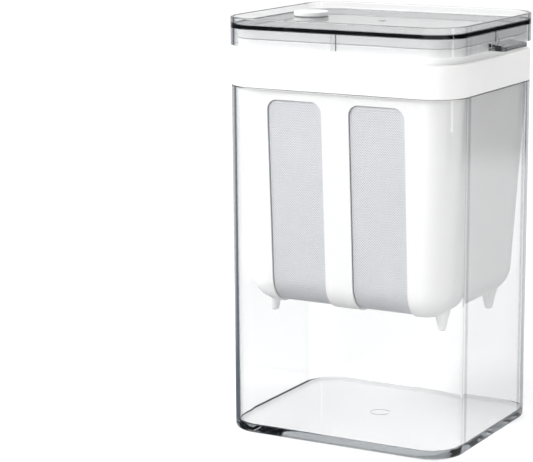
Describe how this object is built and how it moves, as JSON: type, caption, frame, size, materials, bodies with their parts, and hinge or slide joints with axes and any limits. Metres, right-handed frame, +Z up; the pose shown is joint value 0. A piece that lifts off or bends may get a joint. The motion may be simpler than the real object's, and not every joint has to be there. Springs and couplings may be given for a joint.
{
  "type": "yogurt maker",
  "caption": "Clear rectangular tub with a lift-out white strainer with fine mesh windows, and a clear lid with finger tab and silicone vent plug.",
  "frame": {"origin": "centre of the flat underside of the tub", "axes": "+Z up, +X towards the lid's finger tab, -Y towards the front, where two mesh windows face"},
  "size_m": [0.161, 0.125, 0.2473],
  "materials": {
    "clear_tub": "polished clear moulding",
    "white_frame": "satin white moulding",
    "fine_mesh": "fine woven wire cloth",
    "clear_lid": "polished clear moulding, faint grey tint",
    "frosted_silicone": "translucent silicone",
    "white_silicone": "matte silicone"
  },
  "bodies": {
    "tub": {"container": "clear_tub"},
    "strainer": {"strainer_frame": "white_frame", "mesh_left": "fine_mesh", "mesh_right": "fine_mesh"},
    "lid": {"lid_shell": "clear_lid", "lid_gasket": "frosted_silicone"},
    "vent": {"vent_plug": "white_silicone"}
  },
  "joints": [
    {"name": "strainer_lift", "type": "slide", "parent": "tub", "child": "strainer", "axis": [0, 0, 1], "range_m": [0, 0.15]},
    {"name": "lid_lift", "type": "slide", "parent": "strainer", "child": "lid", "axis": [0, 0, 1], "range_m": [0, 0.06]},
    {"name": "vent_lift", "type": "slide", "parent": "lid", "child": "vent", "axis": [0, 0, 1], "range_m": [0, 0.02]}
  ]
}
